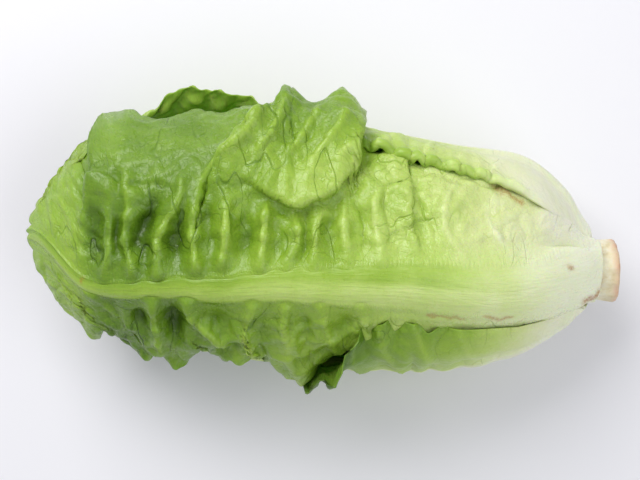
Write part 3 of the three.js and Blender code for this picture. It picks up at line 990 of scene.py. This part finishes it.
def leaf_material(name, groups, gloss, glow):
    """Leaf tissue: blanched to green by the leaf's own values, which include painted shade in the hollows,
    with veins, mottling and brown marks.
    """
    material, tree, skin = new_material(name)
    place = attribute(tree, "leaf_place", "Vector")
    rib = attribute(tree, "rib")
    veins = use_group(tree, groups["veins"], place=place)
    mottle = use_group(tree, groups["mottle"], place=place)
    off_rib = math_node(tree, "SUBTRACT", 1.0, rib)
    # The green value holds painted shade in the hollows and, on the top leaf, painted light on raised
    # parts.
    green = math_node(tree, "MULTIPLY_ADD", mottle.outputs["Patches"], 0.045, attribute(tree, "green"))
    green = math_node(tree, "MULTIPLY_ADD", mottle.outputs["Grain"], 0.012, green)
    lines = times(tree, veins.outputs["Lines"], off_rib)
    lines = times(tree, lines, math_node(tree, "ADD", attribute(tree, "crinkle"), 0.25))
    green = math_node(tree, "MULTIPLY_ADD", lines, 0.13, green)
    green = math_node(tree, "MULTIPLY_ADD", attribute(tree, "vein"), -0.1, green)
    colour = ramp_node(tree, green, GREENS)
    paler = times(tree, attribute(tree, "inside"), 0.22)
    colour = blend_node(tree, paler, colour, srgb(176, 205, 96))
    spots = texture(tree, "Noise", place, 1500.0, detail=2.0)
    spotted = step_node(tree, spots.outputs["Fac"], 0.35, 0.6, 0.5, 1.0)
    bruise = times(tree, attribute(tree, "brown"), spotted)
    colour = blend_node(tree, bruise, colour, srgb(168, 112, 44))
    join(tree, colour, skin.inputs["Base Color"])
    grain = texture(tree, "Noise", place, 2600.0, detail=3.0)
    grooves = texture(tree, "Noise", stretched(tree, place, (0.12, 1.0, 1.0)), 900.0, detail=2.0)
    height = times(tree, grooves.outputs["Fac"], rib)
    sunk = times(tree, veins.outputs["Height"], -1.0)
    height = math_node(tree, "MULTIPLY_ADD", sunk, off_rib, height)
    normal = bump_node(tree, height, 0.7, 0.0005)
    ticks = texture(tree, "Noise", stretched(tree, place, (1.0, 0.16, 1.0)), 1100.0, detail=2.0)
    rib_edge = times(tree, times(tree, rib, off_rib), 4.0)
    normal = bump_node(tree, times(tree, ticks.outputs["Fac"], rib_edge), 0.7, 0.0008, normal)
    pebbles = texture(tree, "Noise", place, 420.0, detail=2.0)
    normal = bump_node(tree, times(tree, pebbles.outputs["Fac"], off_rib), 0.6, 0.0008, normal)
    normal = bump_node(tree, grain.outputs["Fac"], 0.3, 0.00015, normal)
    join(tree, normal, skin.inputs["Normal"])
    rough = step_node(tree, pebbles.outputs["Fac"], 0.3, 0.7, gloss - 0.06, gloss + 0.08)
    join(tree, rough, skin.inputs["Roughness"])
    skin.inputs["Subsurface Weight"].default_value = glow
    skin.inputs["Subsurface Radius"].default_value = (0.6, 1.0, 0.2)
    skin.inputs["Subsurface Scale"].default_value = 0.003
    skin.inputs["Specular IOR Level"].default_value = 0.5
    return material


def stem_material():
    """Cut stem: cream side with grooves, a moist cut face with its ring of bundles and a browned rim."""
    material, tree, skin = new_material("Cut stem")
    where = tree.nodes.new("ShaderNodeTexCoord").outputs["Object"]
    blotch = texture(tree, "Noise", where, 260.0, detail=4.0, roughness=0.6)
    fibres = texture(tree, "Noise", stretched(tree, where, (0.2, 1.0, 1.0)), 1300.0, detail=2.0)
    side = ramp_node(tree, step_node(tree, blotch.outputs["Fac"], 0.3, 0.7),
                     ((0.0, (222, 208, 168)), (0.5, (238, 229, 196)), (1.0, (246, 241, 218))))
    face = ramp_node(tree, step_node(tree, blotch.outputs["Fac"], 0.3, 0.7),
                     ((0.0, (222, 205, 160)), (0.5, (236, 226, 190)), (1.0, (244, 240, 214))))
    colour = blend_node(tree, attribute(tree, "cut"), side, face)
    dots = times(tree, attribute(tree, "bundle"), 0.6)
    colour = blend_node(tree, dots, colour, srgb(176, 186, 108))
    uneven = step_node(tree, blotch.outputs["Fac"], 0.35, 0.65, 0.35, 1.0)
    rust = times(tree, attribute(tree, "browned"), uneven)
    colour = blend_node(tree, times(tree, rust, 0.8), colour, srgb(204, 142, 104))
    join(tree, colour, skin.inputs["Base Color"])
    normal = bump_node(tree, fibres.outputs["Fac"], 0.5, 0.0005)
    join(tree, bump_node(tree, blotch.outputs["Fac"], 0.4, 0.0008, normal), skin.inputs["Normal"])
    join(tree, step_node(tree, blotch.outputs["Fac"], 0.3, 0.7, 0.35, 0.6), skin.inputs["Roughness"])
    skin.inputs["Subsurface Weight"].default_value = 0.2
    skin.inputs["Subsurface Radius"].default_value = (1.0, 0.8, 0.5)
    skin.inputs["Subsurface Scale"].default_value = 0.002
    return material


# ---------------------------------------------------------------- stage

# The floor reaches so many lengths of the head each way, and lies just under the pressed leaf.
FLOOR_REACH = 8
FLOOR_DROP = 0.0002

# Soft lamps: name, size, share of the lamp power, colour and place, all turned to one point.
LAMPS = (
    ("window", 0.7, 1.0, (1.0, 0.99, 0.97), (-0.35, 0.55, 0.75)),
    ("fill", 0.9, 0.42, (0.97, 0.98, 1.0), (0.6, -0.3, 0.8)),
)
LAMP_AIM = (0, 0, 0.03)

# The camera looks down at this point, tilted by so many degrees, and shows so wide a strip there.
CAMERA_AIM = (-0.0025, 0.001, 0.045)
CAMERA_TILT = 3
SHOWN_WIDTH = 0.272


def area_light(name, size, power, colour, place, aim):
    light = bpy.data.lights.new(name, "AREA")
    light.size = size
    light.energy = power
    light.color = colour
    lamp = bpy.data.objects.new(name, light)
    bpy.context.scene.collection.objects.link(lamp)
    lamp.location = place
    lamp.rotation_euler = (Vector(aim) - Vector(place)).to_track_quat("-Z", "Y").to_euler()


def floor_material(settings):
    material, _, skin = new_material("Pale floor")
    skin.inputs["Base Color"].default_value = (*settings.floor_colour, 1.0)
    skin.inputs["Roughness"].default_value = 0.6
    return material


# ---------------------------------------------------------------- add-on

class LettuceSettings(bpy.types.PropertyGroup):
    """Sizes and strengths that a user would change."""

    blade_thickness: bpy.props.FloatProperty(
        name="Blade thickness", description="Thickness of a leaf beside its rib",
        default=0.0008, unit="LENGTH")
    cells_per_metre: bpy.props.FloatProperty(
        name="Cells per metre", description="How many cells between small veins there are in a metre",
        default=105.0)
    cell_depth: bpy.props.FloatProperty(
        name="Cell depth", description="How far the blade sinks between its small veins", default=0.0013,
        unit="LENGTH")
    leaf_glow: bpy.props.FloatProperty(
        name="Leaf glow", description="Share of light that travels inside a leaf",
        default=0.25, subtype="FACTOR")
    floor_colour: bpy.props.FloatVectorProperty(
        name="Floor colour", description="Colour of the surface that the head lies on",
        default=(0.85, 0.845, 0.895), subtype="COLOR")
    sky_strength: bpy.props.FloatProperty(
        name="Sky strength", description="Brightness of the even light from all round", default=0.46)
    lamp_power: bpy.props.FloatProperty(
        name="Lamp power", description="Power of the large soft lamp", default=7.2, unit="POWER")
    lens: bpy.props.FloatProperty(
        name="Lens", description="Focal length of the camera in millimetres", default=75.0)


def head_settings():
    return bpy.context.scene.lettuce_settings


def shared_groups():
    """The shader node groups that the leaf materials share, built once."""
    makers = {"veins": vein_group, "mottle": mottle_group}
    return {key: bpy.data.node_groups.get("Leaf " + key) or make() for key, make in makers.items()}


def make_leaf(leaf, grid, material, tones):
    """Makes one leaf as a piece, with its sheet's rows and columns."""
    rows, columns = grid
    tree = crinkle_tree(material)
    mesh = leaf_mesh(leaf, rows, columns, tree, head_settings(), tones)
    bpy.data.node_groups.remove(tree)
    add_piece(leaf["name"] + "_blade", mesh, material, leaf["name"])


def make_whorl(whorl, gloss):
    """Makes all the leaves of a whorl, with one material."""
    shape = WHORLS[whorl]
    name = whorl.capitalize() + " leaf"
    material = leaf_material(name, shared_groups(), gloss, head_settings().leaf_glow)
    for number in range(1, len(shape["angles"]) + 1):
        make_leaf(whorl_leaf(whorl, number), shape["grid"], material, general_tones)


class LETTUCE_OT_stage(bpy.types.Operator):
    """Set the floor, the soft light and the camera that looks down on the head"""

    bl_idname = "lettuce.stage"
    bl_label = "Stage"

    def execute(self, context):
        settings = head_settings()
        low, high = CAD_BOUNDS
        length = high[0] - low[0]
        floor_mesh = bpy.data.meshes.new("floor")
        half = FLOOR_REACH * length
        level = -FLOOR_DROP
        corners = [(-half, -half, level), (half, -half, level), (half, half, level), (-half, half, level)]
        floor_mesh.from_pydata(corners, [], [(0, 1, 2, 3)])
        floor_mesh.materials.append(floor_material(settings))
        floor = bpy.data.objects.new("floor", floor_mesh)
        context.scene.collection.objects.link(floor)
        world = bpy.data.worlds.new("Soft sky")
        context.scene.world = world
        world.use_nodes = True
        background = world.node_tree.nodes["Background"]
        background.inputs["Color"].default_value = (0.97, 0.98, 1.0, 1.0)
        background.inputs["Strength"].default_value = settings.sky_strength
        for name, size, share, colour, place in LAMPS:
            area_light(name, size, settings.lamp_power * share, colour, place, LAMP_AIM)
        camera_data = bpy.data.cameras.new("camera")
        camera_data.lens = settings.lens
        camera = bpy.data.objects.new("camera", camera_data)
        context.scene.collection.objects.link(camera)
        distance = SHOWN_WIDTH / camera_data.sensor_width * settings.lens
        tilt = math.radians(CAMERA_TILT)
        camera.location = Vector(CAMERA_AIM) + Vector((0, -math.sin(tilt), math.cos(tilt))) * distance
        camera.rotation_euler = (tilt, 0, 0)
        context.scene.camera = camera
        context.scene.view_settings.view_transform = "Standard"
        return {"FINISHED"}


class LETTUCE_OT_top_leaf(bpy.types.Operator):
    """Make the broad leaf on top, with its rib side up"""

    bl_idname = "lettuce.top_leaf"
    bl_label = "Top leaf"

    def execute(self, context):
        material = leaf_material("Top leaf", shared_groups(), 0.31, head_settings().leaf_glow)
        make_leaf(top_leaf_form(), TOP_LEAF_GRID, material, top_tones)
        return {"FINISHED"}


class LETTUCE_OT_outer_leaves(bpy.types.Operator):
    """Make the three outer leaves that the head is wrapped in"""

    bl_idname = "lettuce.outer_leaves"
    bl_label = "Outer leaves"

    def execute(self, context):
        make_whorl("outer", 0.38)
        return {"FINISHED"}


class LETTUCE_OT_inner_leaves(bpy.types.Operator):
    """Make the whorls inside the outer leaves, down to the heart"""

    bl_idname = "lettuce.inner_leaves"
    bl_label = "Inner leaves"

    def execute(self, context):
        for whorl in list(WHORLS)[1:]:
            make_whorl(whorl, 0.4)
        return {"FINISHED"}


class LETTUCE_OT_stem(bpy.types.Operator):
    """Make the short cut stem that the leaves grow from"""

    bl_idname = "lettuce.stem"
    bl_label = "Stem"

    def execute(self, context):
        add_piece("stem_cut", stem_mesh(), stem_material(), "stem")
        return {"FINISHED"}


class LETTUCE_PT_head(bpy.types.Panel):
    """Lists the steps that make the head, in order"""

    bl_idname = "LETTUCE_PT_head"
    bl_label = "Romaine lettuce"
    bl_space_type = "VIEW_3D"
    bl_region_type = "UI"
    bl_category = "Lettuce"

    def draw(self, context):
        for name in LettuceSettings.__annotations__:
            self.layout.prop(context.scene.lettuce_settings, name)
        for step in STEPS:
            self.layout.operator(step.bl_idname)


STEPS = (
    LETTUCE_OT_stage,
    LETTUCE_OT_stem,
    LETTUCE_OT_top_leaf,
    LETTUCE_OT_outer_leaves,
    LETTUCE_OT_inner_leaves,
)
CLASSES = (LettuceSettings, *STEPS, LETTUCE_PT_head)


def register():
    for item in CLASSES:
        bpy.utils.register_class(item)
    bpy.types.Scene.lettuce_settings = bpy.props.PointerProperty(type=LettuceSettings)


def unregister():
    del bpy.types.Scene.lettuce_settings
    for item in reversed(CLASSES):
        bpy.utils.unregister_class(item)


def main():
    register()
    bpy.ops.lettuce.stage()
    bpy.ops.lettuce.stem()
    bpy.ops.lettuce.top_leaf()
    bpy.ops.lettuce.outer_leaves()
    bpy.ops.lettuce.inner_leaves()
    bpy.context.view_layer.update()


if __name__ == "__main__":
    main()
